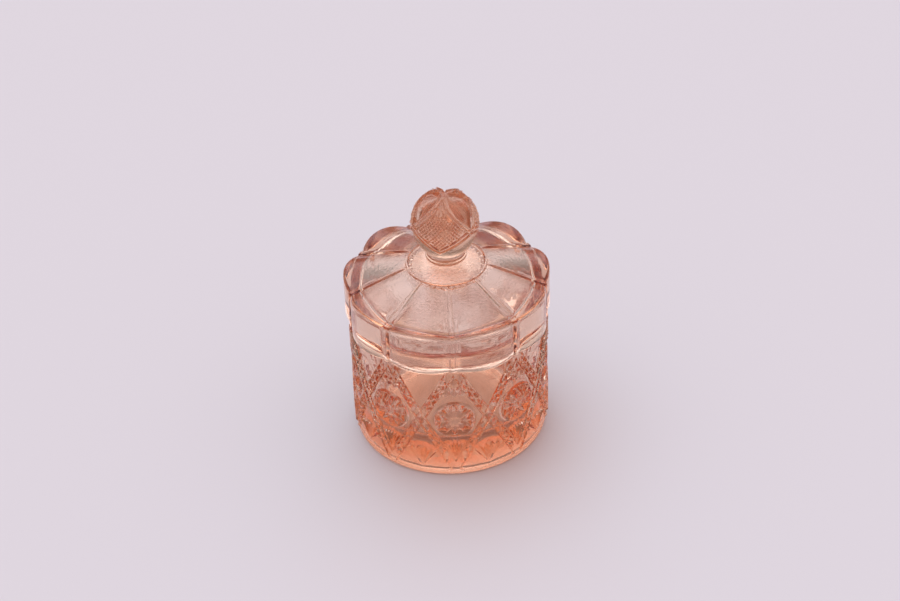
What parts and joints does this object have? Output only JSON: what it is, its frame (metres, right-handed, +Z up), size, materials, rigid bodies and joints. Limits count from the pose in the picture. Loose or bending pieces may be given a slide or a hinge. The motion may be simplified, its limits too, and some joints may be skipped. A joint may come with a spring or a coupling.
{
  "type": "covered candy dish",
  "caption": "Small round pink pressed-glass candy dish with diamond relief, a collared rim and a lobed, ribbed lift-off lid with a ball knob.",
  "frame": {"origin": "on the dish's axis, in the plane that the foot ring stands on", "axes": "+Z up along the axis; a rib of the lid points along -Y"},
  "size_m": [0.0988, 0.0986, 0.1339],
  "materials": {
    "dish_glass": "fire-polished pink pressed glass",
    "lid_glass": "fire-polished pink pressed glass"
  },
  "bodies": {
    "dish_body": {"dish": "dish_glass"},
    "lid_body": {"lid": "lid_glass"}
  },
  "joints": [
    {"name": "lid_lift", "type": "slide", "parent": "dish_body", "child": "lid_body", "axis": [0, 0, 1], "range_m": [0, 0.06]}
  ]
}
